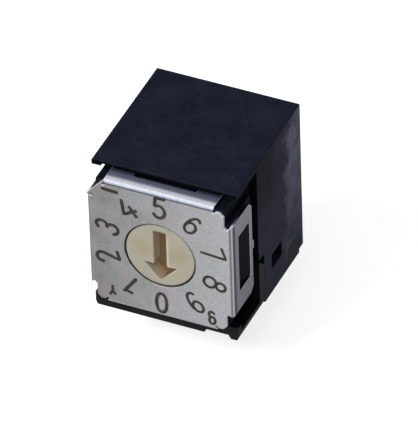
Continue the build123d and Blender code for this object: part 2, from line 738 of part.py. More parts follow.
def build_parts():
    """Every piece by the name of its node."""
    terminals = {name: terminal(contact) for name, contact in CONTACTS.items()}
    legs = list(terminals.values())
    parts = {
        "cover_plate": cover_plate(),
        "switch_housing": switch_housing(),
        "rotor": rotor(),
        "rotor_seal": rotor_seal(),
        "detent_spring": detent_spring(),
        "code_disc": code_disc(),
        "code_tracks": code_tracks(),
        "contact_carrier": contact_carrier(legs),
        "potting": potting(legs),
        "hood": hood(),
        "base": base(),
    }
    for name, contact in CONTACTS.items():
        parts["terminal_" + name] = terminals[name]
        parts["wiper_" + name] = wiper(contact)
    return parts


os.makedirs("parts", exist_ok=True)
for node, solid in build_parts().items():
    solid.label = node
    export_step(solid, os.path.join("parts", node + ".step"))
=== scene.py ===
"""Looks of a right-angle rotary coded switch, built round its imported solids.

All lengths are metres, in the frame of the solids: X to the right seen from the dial, Y away
from the dial, Z up from the board. A Range in a finish gives where its mask is 0, and then where
it is full.
"""

import logging
import math
from dataclasses import dataclass
from enum import Enum
from functools import cached_property, reduce

import bmesh
import bpy
import numpy as np
from bpy.types import Material, Node, NodeTree, Object
from bpy.types import NodeSocket as Socket
from bpy.types import bpy_prop_collection as Sockets
from mathutils import Matrix, Vector


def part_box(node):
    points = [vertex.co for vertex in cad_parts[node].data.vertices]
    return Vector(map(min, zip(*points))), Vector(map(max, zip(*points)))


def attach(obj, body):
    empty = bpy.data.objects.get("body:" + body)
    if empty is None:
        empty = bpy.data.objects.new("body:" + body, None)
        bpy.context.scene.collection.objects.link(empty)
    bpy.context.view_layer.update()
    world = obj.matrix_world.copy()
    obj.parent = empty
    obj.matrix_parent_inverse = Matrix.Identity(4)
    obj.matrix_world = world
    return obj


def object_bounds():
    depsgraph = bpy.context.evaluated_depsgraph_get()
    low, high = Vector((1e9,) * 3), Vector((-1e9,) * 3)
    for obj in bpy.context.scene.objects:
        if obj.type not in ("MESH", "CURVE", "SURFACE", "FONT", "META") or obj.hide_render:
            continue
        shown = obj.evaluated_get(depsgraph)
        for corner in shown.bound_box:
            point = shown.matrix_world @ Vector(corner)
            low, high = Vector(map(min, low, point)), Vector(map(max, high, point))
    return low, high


MM = 0.001
Color = tuple[float, float, float]
Pair = tuple[float, float]
Range = Pair
Ramp = tuple[tuple[float, Color], ...]
Source = Socket | float | Color
LOG = logging.getLogger("rotary_switch")

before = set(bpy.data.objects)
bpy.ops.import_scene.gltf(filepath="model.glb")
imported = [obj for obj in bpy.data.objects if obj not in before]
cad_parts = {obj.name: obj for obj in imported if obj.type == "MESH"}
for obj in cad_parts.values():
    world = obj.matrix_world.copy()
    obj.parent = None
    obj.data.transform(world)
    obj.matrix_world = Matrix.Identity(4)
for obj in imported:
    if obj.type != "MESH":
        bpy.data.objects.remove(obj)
CAD_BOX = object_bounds()


def mm(first: float, second: float) -> Pair:
    """A pair of lengths given in millimetres."""
    return first * MM, second * MM


class Canvas:
    """A node tree with short calls that add nodes and join their sockets."""

    def __init__(self, tree: NodeTree) -> None:
        """Take a tree to draw in, and clear it."""
        self.tree = tree
        tree.nodes.clear()

    def node(
        self, kind: str, inputs: dict[str | int, Source] | None = None, **settings: object
    ) -> Node:
        """Add a node.

        Args:
            kind: Blender's name of the node's type, without its ShaderNode prefix.
            inputs: source of each fed input, by its name or number.
            settings: properties of the node, set by name.

        Returns:
            The new node.
        """
        prefix = "" if kind.startswith("NodeGroup") else "ShaderNode"
        made = self.tree.nodes.new(prefix + kind)
        for name, value in settings.items():
            setattr(made, name, value)
        for key, source in (inputs or {}).items():
            self.feed(made.inputs[key], source)
        return made

    def feed(self, target: Socket, source: Source) -> None:
        """Give an input its source.

        Args:
            target: the input.
            source: another node's output, or a plain number, vector or colour.
        """
        if isinstance(source, Socket):
            self.tree.links.new(source, target)
        elif target.type == "RGBA":
            target.default_value = (*source, 1.0)
        else:
            target.default_value = source

    def axes(self, vector: Socket) -> tuple[Socket, ...]:
        """The X, Y and Z of a vector."""
        return tuple(self.node("SeparateXYZ", {0: vector}).outputs)

    def math(self, operation: str, *values: Source, clamp: bool = False) -> Socket:
        """Result of a Math node's operation, which a clamp keeps between 0 and 1."""
        made = self.node("Math", dict(enumerate(values)), operation=operation, use_clamp=clamp)
        return made.outputs[0]

    def add(self, first: Source, second: Source) -> Socket:
        """Add two numbers, without limits."""
        return self.math("ADD", first, second)

    def times(self, first: Source, second: Source) -> Socket:
        """Multiply two numbers, without limits."""
        return self.math("MULTIPLY", first, second)

    def all_of(self, *masks: Source) -> Socket:
        """Where every mask shows, which is their product."""
        return reduce(lambda one, other: self.math("MULTIPLY", one, other, clamp=True), masks)

    def any_of(self, *masks: Source) -> Socket:
        """Where any mask shows, which is the largest of them."""
        return reduce(lambda one, other: self.math("MAXIMUM", one, other, clamp=True), masks)

    def where(self, *limits: tuple[Source, Range]) -> Socket:
        """Where each of several values has come into its range: the product of their masks."""
        return self.all_of(*(self.spread(value, *reach) for value, reach in limits))

    def apart(self, across: Source, height: Source, place: Pair) -> Socket:
        """How far a point lies from a place, both given as X and height."""
        flat = self.node("CombineXYZ", {"X": across, "Z": height}).outputs[0]
        ends = {0: flat, 1: (place[0], 0.0, place[1])}
        return self.node("VectorMath", ends, operation="DISTANCE").outputs["Value"]

    def mix(self, factor: Source, low: Source, high: Source, blend: str = "MIX") -> Socket:
        """Blend two colours in Blender's named way: low at factor 0, high at factor 1."""
        sources = {0: factor, 6: low, 7: high}
        return self.node("Mix", sources, data_type="RGBA", blend_type=blend).outputs[2]

    def layers(self, color: Source, *laid: tuple[Source, Source]) -> Source:
        """Lay colours over a first one.

        Args:
            color: the lowest colour.
            laid: mask and colour of each layer, from the lowest up.

        Returns:
            The colour that shows.
        """
        for mask, layer in laid:
            color = self.mix(mask, color, layer)
        return color

    def blend(self, factor: Source, low: Source, high: Source) -> Socket:
        """Blend two numbers: low at factor 0, high at factor 1."""
        return self.node("Mix", {0: factor, 2: low, 3: high}, data_type="FLOAT").outputs[0]

    def spread(
        self, value: Source, low: float, high: float, start: float = 0.0, end: float = 1.0
    ) -> Socket:
        """Map a value from low and high to start and end, without going past these."""
        numbers = dict(enumerate((value, low, high, start, end)))
        return self.node("MapRange", numbers, clamp=True).outputs[0]

    def ramp(self, value: Source, stops: Ramp) -> Socket:
        """A colour that changes along a value from 0 to 1.

        Args:
            value: where to read the ramp.
            stops: value and colour of each stop, in order.

        Returns:
            The ramp's colour.
        """
        made = self.node("ValToRGB", {0: value})
        elements = made.color_ramp.elements
        while len(elements) < len(stops):
            elements.new(0.5)
        for element, (position, color) in zip(elements, stops):
            element.position = position
            element.color = (*color, 1.0)
        return made.outputs[0]

    def noise(self, vector: Source, scale: Source, detail: float = 2.0) -> Socket:
        """Noise of the given scale, from 0 to 1."""
        inputs = {"Vector": vector, "Scale": scale, "Detail": detail}
        return self.node("TexNoise", inputs).outputs["Fac"]

    def group(self, tree: NodeTree, **inputs: Source) -> Node:
        """Place a node group and feed its inputs, where an underscore stands for a space."""
        named = {name.replace("_", " ").title(): source for name, source in inputs.items()}
        return self.node("Group", named, node_tree=tree)


class Surface(Canvas):
    """A material's node tree, with the place and the facing of each point of the piece."""

    def __init__(self, tree: NodeTree, front: float, axis_height: float) -> None:
        """Take a tree to draw in, and the depth and height from which places are measured."""
        super().__init__(tree)
        self.front, self.axis_height = front, axis_height

    @cached_property
    def point(self) -> Socket:
        """The place of the point, as a vector."""
        return self.node("TexCoord").outputs["Object"]

    @cached_property
    def place(self) -> tuple[Socket, Socket, Socket]:
        """X of the point, its depth under the front and its height over the axis."""
        across, depth, height = self.axes(self.point)
        return across, self.add(depth, -self.front), self.add(height, -self.axis_height)

    @cached_property
    def from_axis(self) -> Socket:
        """Distance of the point from the axis."""
        return self.apart(self.place[0], self.place[2], (0.0, 0.0))

    @cached_property
    def facing(self) -> tuple[Socket, ...]:
        """How much the surface faces right, back and up, below 0 for left, front and down."""
        return self.axes(self.node("TexCoord").outputs["Normal"])

    @cached_property
    def turned(self) -> tuple[Socket, ...]:
        """How much the surface faces to a side, to front or back, and up or down."""
        return tuple(self.math("ABSOLUTE", axis) for axis in self.facing)


def new_group(
    name: str, outputs: dict[str, str], floats: tuple[str, ...], colors: tuple[str, ...] = ()
) -> tuple[Canvas, Sockets, Sockets]:
    """Start a shader node group, whose first input is a vector.

    Args:
        name: the group's name.
        outputs: socket types by output name, as Float, Vector or Color.
        floats: names of the inputs that are numbers.
        colors: names of the inputs that are colours.

    Returns:
        The group's canvas, the sockets that give its inputs and those that take its outputs.
    """
    tree = bpy.data.node_groups.new(name, "ShaderNodeTree")
    inputs = {"Vector": "Vector"} | dict.fromkeys(colors, "Color") | dict.fromkeys(floats, "Float")
    for direction, sockets in (("INPUT", inputs), ("OUTPUT", outputs)):
        for label, kind in sockets.items():
            tree.interface.new_socket(label, in_out=direction, socket_type="NodeSocket" + kind)
    canvas = Canvas(tree)
    return canvas, canvas.node("NodeGroupInput").outputs, canvas.node("NodeGroupOutput").inputs


@dataclass
class Effects:
    """Shader effects that several finishes share, each built once as a node group."""

    bevel_samples: int = 8
    edge_turn: Range = (0.999, 0.86)
    break_noise: Range = (0.36, 0.56)
    fineness: float = 3.0
    grain_sum: Range = (0.6, 1.4)
    drift_detail: float = 3.0
    warm_noise: Range = (0.5, 0.68)
    cool_noise: Range = (0.5, 0.32)

    def __post_init__(self) -> None:
        """Build every group."""
        self.edges = self._edges()
        self.grain = self._grain()
        self.mottle = self._mottle()

    def _edges(self) -> NodeTree:
        """Rounded edges: a normal that turns over each edge, and a broken mask of the edges.

        The mask grows as the dot product of the rounded and the true normal falls below 1, and
        is multiplied by noise.

        Returns:
            The group.
        """
        canvas, given, result = new_group(
            "rounded_edges",
            {"Normal": "Vector", "Mask": "Float"},
            ("Radius", "Break Scale", "Strength"),
        )
        bevel = canvas.node("Bevel", {"Radius": given["Radius"]}, samples=self.bevel_samples)
        normals = {0: bevel.outputs[0], 1: canvas.node("NewGeometry").outputs["Normal"]}
        dot = canvas.node("VectorMath", normals, operation="DOT_PRODUCT").outputs["Value"]
        patches = canvas.noise(given["Vector"], given["Break Scale"])
        mask = canvas.where((dot, self.edge_turn), (patches, self.break_noise))
        canvas.feed(result["Normal"], bevel.outputs[0])
        canvas.feed(result["Mask"], canvas.all_of(mask, given["Strength"]))
        return canvas.tree

    def _grain(self) -> NodeTree:
        """Fine surface grain: the sum of two noises, the second finer than the first.

        Returns:
            The group.
        """
        canvas, given, result = new_group("surface_grain", {"Value": "Float"}, ("Scale",))
        coarse = canvas.noise(given["Vector"], given["Scale"])
        fine = canvas.noise(given["Vector"], canvas.times(given["Scale"], self.fineness))
        canvas.feed(result["Value"], canvas.spread(canvas.add(coarse, fine), *self.grain_sum))
        return canvas.tree

    def _mottle(self) -> NodeTree:
        """Slow change of colour over a surface: noise drifts a colour to either side.

        Returns:
            The group.
        """
        canvas, given, result = new_group(
            "colour_mottle", {"Color": "Color"}, ("Scale", "Amount"), ("Color", "Warm", "Cool")
        )
        drift = canvas.noise(given["Vector"], given["Scale"], self.drift_detail)
        warm = canvas.all_of(canvas.spread(drift, *self.warm_noise), given["Amount"])
        cool = canvas.all_of(canvas.spread(drift, *self.cool_noise), given["Amount"])
        drifted = canvas.layers(given["Color"], (warm, given["Warm"]), (cool, given["Cool"]))
        canvas.feed(result["Color"], drifted)
        return canvas.tree


@dataclass(frozen=True)
class Finish:
    """A surface finish. Colours are linear red, green and blue.

    The front and the axis height are the depth and height from which its places are measured.
    """

    name: str
    color: Color
    warm: Color
    cool: Color
    roughness: float
    metallic: float = 0.0
    specular: float = 0.5
    coat: float = 0.0
    drift_size: float = 1.6 * MM
    drift: float = 0.6
    grain_size: float = 0.14 * MM
    grain_depth: float = 0.0015 * MM
    grain_tone: float = 0.15
    grain_gain: float = 2.0
    grain_gloss: float = 0.05
    edge_radius: float = 0.05 * MM
    edge_color: Color = (0.5, 0.5, 0.5)
    edge_strength: float = 0.4
    edge_roughness: float = 0.3
    break_size: float = 0.4 * MM
    front: float = 0.0
    axis_height: float = 0.0

    @staticmethod
    def mottled(canvas: Surface, colors: tuple[Color, ...], size: float, amount: float) -> Socket:
        """A colour that drifts to its warm and its cool one, in patches of the given size."""
        named = dict(zip(("color", "warm", "cool"), colors), scale=1.0 / size, amount=amount)
        return canvas.group(EFFECTS.mottle, vector=canvas.point, **named).outputs["Color"]

    def base(self, canvas: Surface) -> Source:
        """Colour of the surface before grain and edges."""
        return self.mottled(canvas, (self.color, self.warm, self.cool), self.drift_size, self.drift)

    def matt(self, canvas: Surface, grain: Socket) -> Socket:
        """Roughness of the surface away from its edges, which varies with the grain."""
        low, high = self.roughness - self.grain_gloss, self.roughness + self.grain_gloss
        return canvas.spread(grain, 0.0, 1.0, low, high)

    def metal(self, canvas: Surface) -> Source:
        """How metallic the surface is, a number here and a socket where it varies."""
        return self.metallic

    def wear(self, canvas: Surface, mask: Socket) -> Socket:
        """Where the edge colour shows, which is all along the edges here."""
        return mask

    def material(self) -> Material:
        """Build the finish.

        Returns:
            A material whose Principled shader takes its colour, roughness and normal from
            the shared effects.
        """
        made = bpy.data.materials.new(self.name)
        made.use_nodes = True
        canvas = Surface(made.node_tree, self.front, self.axis_height)
        edges = canvas.group(
            EFFECTS.edges,
            vector=canvas.point,
            radius=self.edge_radius,
            break_scale=1.0 / self.break_size,
            strength=self.edge_strength,
        ).outputs
        edge_wear_and_highlight_mask = self.wear(canvas, edges["Mask"])
        scale = 1.0 / self.grain_size
        grain = canvas.group(EFFECTS.grain, vector=canvas.point, scale=scale).outputs["Value"]
        shade = canvas.all_of(grain, self.grain_gain * self.grain_tone)
        dark = 1.0 - self.grain_tone
        color = canvas.mix(shade, self.base(canvas), (dark, dark, dark), "MULTIPLY")
        bump = canvas.node(
            "Bump", {"Distance": self.grain_depth, "Height": grain, "Normal": edges["Normal"]}
        )
        shader = canvas.node(
            "BsdfPrincipled",
            {
                "Base Color": canvas.mix(edge_wear_and_highlight_mask, color, self.edge_color),
                "Roughness": canvas.blend(edge_wear_and_highlight_mask, self.matt(canvas, grain), self.edge_roughness),
                "Normal": bump.outputs[0],
                "Metallic": self.metal(canvas),
                "Specular IOR Level": self.specular,
                "Coat Weight": self.coat,
            },
        )
        canvas.node("OutputMaterial", {"Surface": shader.outputs[0]})
        return made


@dataclass(frozen=True)
class RotorCream(Finish):
    """Cream moulding: ejector marks, painted shade in the slot and round the rim, painted
    highlights.
    """

    # Painted shade in the slot: brown deepening with depth, the left wall painted lighter as light,
    # the right wall and barb darker.
    stain: Color = (0.31, 0.19, 0.095)
    stain_depths: Range = mm(0.1, 0.9)
    stain_left: Color = (0.62, 0.455, 0.28)
    left_turn: Range = (0.3, 0.8)
    stain_right: Color = (0.17, 0.11, 0.07)
    right_turn: Range = (-0.3, -0.7)
    barb_start: Range = mm(0.4, 0.65)
    steep_depths: Range = mm(0.06, 0.2)
    mark_place: Pair = mm(1.25, 0.3)
    mark_radii: Range = mm(0.95, 0.95 / 3)
    mark_color: Color = (0.37, 0.30, 0.16)
    mark_strength: float = 0.55
    # A painted highlight, pale cream, along the right edge of the slot and over its barb.
    ridge_color: Color = (0.66, 0.57, 0.43)
    ridge_inner: Range = mm(0.43, 0.45)
    ridge_outer: Range = mm(0.65, 0.51)
    ridge_foot: Range = mm(-0.85, -0.75)
    ridge_head: Range = mm(1.9, 1.0)
    ridge_strength: float = 0.8
    shoulder_reach: Range = mm(1.3, 0.45)
    shoulder_rise: Range = mm(-0.61, -0.73)
    # Painted shade round the rotor's rim, where the gap to the plate lies in shadow.
    rim_color: Color = (0.20, 0.19, 0.15)
    rim_radii: Range = mm(2.31, 2.38)
    # Where the rotor's edges show the painted highlight.
    worn_depths: Range = mm(0.16, 0.06)
    worn_start: Range = mm(0.2, 0.4)

    def base(self, canvas: Surface) -> Source:
        """Cream with its marks, a painted highlight, and painted shade round the rim and in the
        slot.

        The slot is painted a brown shade that deepens with depth. Its left wall is painted lighter,
        as if lit. Its right wall and the right half of the barb are painted darkest, and from
        higher up.

        Args:
            canvas: the material's canvas.

        Returns:
            The colour.
        """
        across, behind, _ = canvas.place
        left = canvas.spread(canvas.facing[0], *self.left_turn)
        wall = canvas.spread(canvas.facing[0], *self.right_turn)
        right = canvas.any_of(wall, canvas.spread(across, *self.barb_start))
        # Painted shade of the slot, lighter on the left wall as painted light and darkest on the
        # right.
        stain = canvas.layers(self.stain, (left, self.stain_left), (right, self.stain_right))
        right_shade = canvas.all_of(right, canvas.spread(behind, *self.steep_depths))
        return canvas.layers(
            super().base(canvas),
            (self.marks(canvas), self.mark_color),
            (self.ridge(canvas), self.ridge_color),
            (canvas.spread(canvas.from_axis, *self.rim_radii), self.rim_color),
            (canvas.any_of(canvas.spread(behind, *self.stain_depths), right_shade), stain),
        )

    def marks(self, canvas: Surface) -> Socket:
        """Mask of the two ejector marks, one each side of the slot, which fade outwards."""
        aside = canvas.math("ABSOLUTE", canvas.place[0])
        away = canvas.apart(aside, canvas.place[2], self.mark_place)
        return canvas.spread(away, *self.mark_radii, 0.0, self.mark_strength)

    def ridge(self, canvas: Surface) -> Socket:
        """A painted highlight along the right of the slot and over its barb.

        Args:
            canvas: the material's canvas.

        Returns:
            The ridge's mask.
        """
        across, _, raised = canvas.place
        start = canvas.where((across, self.ridge_inner), (raised, self.ridge_foot))
        head = canvas.spread(raised, *self.ridge_head, 0.0, self.ridge_strength)
        upright = canvas.all_of(canvas.spread(across, *self.ridge_outer), head)
        shoulder = canvas.where((across, self.shoulder_reach), (raised, self.shoulder_rise))
        return canvas.all_of(start, canvas.any_of(upright, shoulder))

    def wear(self, canvas: Surface, mask: Socket) -> Socket:
        """Where the edges get the painted highlight: close under the face, to the right of the
        slot.
        """
        across, behind, _ = canvas.place
        near = canvas.where((behind, self.worn_depths), (across, self.worn_start))
        return canvas.all_of(mask, near)


@dataclass(frozen=True)
class HazyBlack(Finish):
    """Black moulding: painted sheen and shadow on the walls, painted shade and dull roughness in
    front.
    """

    # Both side walls are painted lighter and bluer than the top, as a painted sheen.
    wall_color: Color = (0.048, 0.053, 0.080)
    wall_turn: Range = (0.7, 0.95)
    # Painted shadow that the roof casts on the right wall, high up in front.
    shade_color: Color = (0.012, 0.014, 0.024)
    shade_depths: Range = mm(0.9, -1.6)
    shade_heights: Range = mm(6.2, 9.4)
    cloud_size: float = 1.5 * MM
    cloud_shift: float = 5.0 * MM
    cloud_middle: float = 0.5
    # Painted sheen on the right wall towards the back, where it mirrors the lit floor.
    haze: Color = (0.22, 0.225, 0.30)
    haze_size: float = 1.6 * MM
    haze_noise: Range = (0.35, 0.6)
    haze_least: float = 0.45
    haze_depths: Range = mm(0.5, 1.7)
    haze_heights: Range = mm(-0.5, 9.0)
    # What faces the front is painted blacker, as shade under the roof's edge.
    front_color: Color = (0.004, 0.005, 0.008)
    front_turn: Range = (-0.7, -0.95)
    front_roughness: float = 0.75

    def ahead(self, canvas: Surface) -> Socket:
        """Mask of what faces the front."""
        return canvas.spread(canvas.facing[1], *self.front_turn)

    def walls(self, canvas: Surface) -> Source:
        """Colour of the side walls, painted lighter as sheen. The right one has a painted shadow of
        the roof high up in front, and a painted sheen towards the back.

        Noise shifts the depth and height at which either begins, so the borders are clouded.

        Args:
            canvas: the material's canvas.

        Returns:
            The colour.
        """
        right = canvas.facing[0], self.wall_turn
        cloud = canvas.add(canvas.noise(canvas.point, 1.0 / self.cloud_size), -self.cloud_middle)
        shift = canvas.times(cloud, self.cloud_shift)
        depth, height = (canvas.add(place, shift) for place in canvas.place[1:])
        shade = canvas.where((depth, self.shade_depths), (height, self.shade_heights), right)
        haze = canvas.where((depth, self.haze_depths), (height, self.haze_heights), right)
        noise = canvas.noise(canvas.point, 1.0 / self.haze_size)
        patches = canvas.spread(noise, *self.haze_noise, self.haze_least, 1.0)
        haze = canvas.all_of(haze, patches)
        return canvas.layers(self.wall_color, (shade, self.shade_color), (haze, self.haze))

    def base(self, canvas: Surface) -> Source:
        """Black, painted lighter and bluer on the walls as sheen, and painted blacker in front as
        shade.
        """
        wall = canvas.spread(canvas.turned[0], *self.wall_turn), self.walls(canvas)
        return canvas.layers(super().base(canvas), wall, (self.ahead(canvas), self.front_color))

    def matt(self, canvas: Surface, grain: Socket) -> Socket:
        """Satin, and dull on the front edges."""
        return canvas.blend(self.ahead(canvas), super().matt(canvas, grain), self.front_roughness)


@dataclass(frozen=True)
class FoldedSteel(Finish):
    """Steel sheet: matt etched front, satin bends with painted highlights and shade, rolled flaps.
    """

    blotch_size: float = 2.6 * MM
    blotch_noise: Range = (0.42, 0.6)
    blotch_color: Color = (0.53, 0.525, 0.535)
    # The front is painted paler to the right, as painted light.
    glow_color: Color = (0.80, 0.80, 0.82)
    glow_reach: Range = mm(-4.0, 6.0)
    tint_size: float = 0.8 * MM
    tints: tuple[Color, ...] = ((0.97, 0.97, 0.97), (1.0, 0.93, 0.98), (0.90, 0.95, 0.89))
    # A painted dark line where the top bend starts, as shade.
    seam_color: Color = (0.13, 0.13, 0.15)
    seam_turn: Range = (0.04, 0.12)
    under_color: Color = (0.66, 0.66, 0.64)
    under_turn: Range = (-0.04, -0.3)
    top_turn: Range = (0.22, 0.4)
    # Painted highlight along the top bend, by how far it has turned.
    top_bend: Ramp = (
        (0.30, (0.30, 0.31, 0.36)),
        (0.70, (0.38, 0.40, 0.48)),
        (0.90, (0.80, 0.83, 0.95)),
        (0.98, (1.0, 1.0, 1.0)),
    )
    # Painted highlight, then the roof's painted shadow, on the top flap by depth behind the front.
    top_root: Ramp = (
        (0.32, (0.94, 0.96, 1.0)),
        (0.42, (0.30, 0.33, 0.45)),
        (0.50, (0.18, 0.20, 0.29)),
        (0.72, (0.13, 0.15, 0.22)),
        (0.86, (0.03, 0.03, 0.05)),
    )
    root_depth: float = 1.5 * MM
    top_end: Range = mm(1.4, 1.3)
    past_turn: Range = (0.9, 0.99)
    side_turn: Range = (0.44, 0.56)
    # Painted highlights and shade along the side bends, by how far they have turned.
    side_bend: Ramp = (
        (0.50, (0.38, 0.38, 0.40)),
        (0.75, (0.36, 0.36, 0.40)),
        (0.93, (0.98, 0.98, 1.0)),
        (0.985, (0.48, 0.49, 0.54)),
        (1.0, (0.11, 0.11, 0.14)),
    )
    side_root: Range = mm(0.56, 0.68)
    flat_turn: Range = (0.99, 0.998)
    flap_color: Color = (0.50, 0.49, 0.56)
    flap_turn: Range = (0.55, 0.8)
    rim_color: Color = (0.58, 0.57, 0.63)
    rim_depths: Range = mm(2.95, 3.1)
    # Cut edges: bare sheared metal, painted paler still as a glint.
    cut_color: Color = (0.85, 0.85, 0.88)
    cut_turn: Range = (0.1, 0.05)
    cut_depths: Range = mm(0.2, 0.19)
    outside_hole: Range = mm(3.0, 3.1)
    inside_hole: Range = mm(3.0, 2.9)
    # Painted shade on the wall of the rotor's hole.
    hole_color: Color = (0.19, 0.185, 0.165)
    hole_turn: Range = (0.9, 0.6)
    matt_turn: Range = (0.84, 0.94)
    satin_turn: Range = (0.05, 0.3)
    smooth_turn: Range = (0.995, 0.95)
    flap_roughness: float = 0.14
    roll_roughness: float = 0.55
    etched_turn: Range = (0.9, 0.995)
    bare_metal: float = 1.0
    rolled_metal: float = 0.35

    def etched(self, canvas: Surface) -> Source:
        """Colour of the front: mottled, with large pale blotches, tinted, and painted paler to the
        right as light.

        Args:
            canvas: the material's canvas.

        Returns:
            The colour.
        """
        blotches = canvas.noise(canvas.point, 1.0 / self.blotch_size, detail=1.0)
        color = canvas.layers(
            super().base(canvas),
            (canvas.spread(blotches, *self.blotch_noise), self.blotch_color),
            (canvas.spread(canvas.place[0], *self.glow_reach), self.glow_color),
        )
        tint = self.mottled(canvas, self.tints, self.tint_size, 1.0)
        return canvas.mix(1.0, color, tint, "MULTIPLY")

    def first_stretch(self, canvas: Surface) -> Socket:
        """Mask of the top and bottom flaps where they leave their bends."""
        return canvas.where((canvas.turned[2], self.flap_turn), (canvas.place[1], self.top_end))

    def cut(self, canvas: Surface) -> Socket:
        """Mask of the cut edges round the front, which face aside and lie within the sheet."""
        aside, within = (canvas.turned[1], self.cut_turn), (canvas.place[1], self.cut_depths)
        return canvas.where(aside, within, (canvas.from_axis, self.outside_hole))

    def hole(self, canvas: Surface) -> Socket:
        """Mask of the wall of the rotor's hole, which is painted dark as shade."""
        aside = canvas.turned[1], self.hole_turn
        return canvas.where(aside, (canvas.from_axis, self.inside_hole))

    def base(self, canvas: Surface) -> Source:
        """Etched front, then painted highlights and shade on the bends by how far they have turned,
        and on their roots, where the top flap also gets the roof's painted shadow; then the flaps.

        Args:
            canvas: the material's canvas.

        Returns:
            The colour.
        """
        behind, up = canvas.place[1], canvas.facing[2]
        sideways, _, level = canvas.turned
        flap_light_and_shadow = canvas.ramp(canvas.times(behind, 1.0 / self.root_depth), self.top_root)
        rim = canvas.spread(behind, *self.rim_depths)
        flap = canvas.mix(rim, self.flap_color, self.rim_color)
        past_top = canvas.where((level, self.past_turn), (behind, self.top_end[::-1]))
        past_side = canvas.where((sideways, self.flat_turn), (behind, self.side_root))
        return canvas.layers(
            self.etched(canvas),
            (canvas.spread(up, *self.seam_turn), self.seam_color),
            (canvas.spread(up, *self.under_turn), self.under_color),
            (canvas.spread(up, *self.top_turn), canvas.ramp(level, self.top_bend)),
            (canvas.spread(level, *self.flat_turn), flap_light_and_shadow),
            (past_top, flap),
            (canvas.spread(sideways, *self.side_turn), canvas.ramp(sideways, self.side_bend)),
            (past_side, flap),
            (self.cut(canvas), self.cut_color),
            (self.hole(canvas), self.hole_color),
        )

    def matt(self, canvas: Surface, grain: Socket) -> Socket:
        """Roughness of the matt front, the satin bends and cuts, and the smooth flaps.

        Args:
            canvas: the material's canvas.
            grain: the grain.

        Returns:
            The roughness.
        """
        _, front, level = canvas.turned
        bend = canvas.where((level, self.satin_turn), (level, self.smooth_turn))
        satin = canvas.any_of(bend, self.first_stretch(canvas), self.cut(canvas))
        folded = canvas.blend(satin, self.flap_roughness, self.roll_roughness)
        etched = canvas.spread(front, *self.matt_turn)
        return canvas.blend(etched, folded, super().matt(canvas, grain))

    def metal(self, canvas: Surface) -> Source:
        """Full metal on bends and flaps, less on the front, the top bend, the cuts and the hole.

        Args:
            canvas: the material's canvas.

        Returns:
            How metallic the sheet is.
        """
        etched = canvas.spread(canvas.turned[1], *self.etched_turn)
        dull = canvas.any_of(self.first_stretch(canvas), self.cut(canvas), self.hole(canvas))
        plain = canvas.blend(etched, self.bare_metal, self.metallic)
        return canvas.blend(dull, plain, self.rolled_metal)


def smooth_shading(piece: Object) -> None:
    """Shade a piece smoothly."""
    piece.data.polygons.foreach_set("use_smooth", np.ones(len(piece.data.polygons), bool))


def outwards(piece: Object) -> None:
    """Close the ends of each strip and point every face out."""
    mesh = bmesh.new()
    mesh.from_mesh(piece.data)
    bmesh.ops.holes_fill(mesh, edges=[edge for edge in mesh.edges if edge.is_boundary])
    bmesh.ops.recalc_face_normals(mesh, faces=mesh.faces)
    mesh.to_mesh(piece.data)
    mesh.free()


def mesh_piece(name: str, points: np.ndarray, faces: np.ndarray) -> Object:
    """Make a mesh object at the origin.

    Args:
        name: the object's name.
        points: vertices in metres, one row each.
        faces: four vertex indices per face, one row each.

    Returns:
        The new object, linked to the scene.
    """
    mesh = bpy.data.meshes.new(name)
    mesh.from_pydata(points.tolist(), [], faces.tolist())
    mesh.update()
    piece = bpy.data.objects.new(name, mesh)
    bpy.context.scene.collection.objects.link(piece)
    return piece


def line(start: Pair, end: Pair, count: int = 9) -> np.ndarray:
    """Points of a straight run, in even steps: start plus a share of the way to the end."""
    share = np.linspace(0.0, 1.0, count)[:, None]
    return np.asarray(start) * (1.0 - share) + np.asarray(end) * share


def arc(
    centre: Pair, radii: Pair, start: float = 0.0, end: float = 360.0, count: int = 25
) -> np.ndarray:
    """Points of an elliptical arc: the centre plus the radii times cosine and sine.

    Args:
        centre: centre of the ellipse.
        radii: half width and half height.
        start: first angle in degrees, counterclockwise from the right.
        end: last angle in degrees.
        count: number of points.

    Returns:
        One row of X and Y for each point.
    """
    angle = np.radians(np.linspace(start, end, count))
    return np.asarray(centre) + np.stack([radii[0] * np.cos(angle), radii[1] * np.sin(angle)], -1)


def oval(
    half_width: float, half_height: float, power: float = 0.8, count: int = 61
) -> np.ndarray:
    """A closed upright oval, whose sides are flatter than an ellipse's.

    X is the half width times the cosine to the given power, with its sign, and Y is the half
    height times the sine.

    Args:
        half_width: half of its width.
        half_height: half of its height.
        power: 1 for an ellipse, and less for flatter sides.
        count: number of points.

    Returns:
        One row of X and Y for each point.
    """
    angle = np.radians(np.linspace(90.0, 450.0, count))
    across = np.sign(np.cos(angle)) * np.abs(np.cos(angle)) ** power
    return np.stack([half_width * across, half_height * np.sin(angle)], -1)


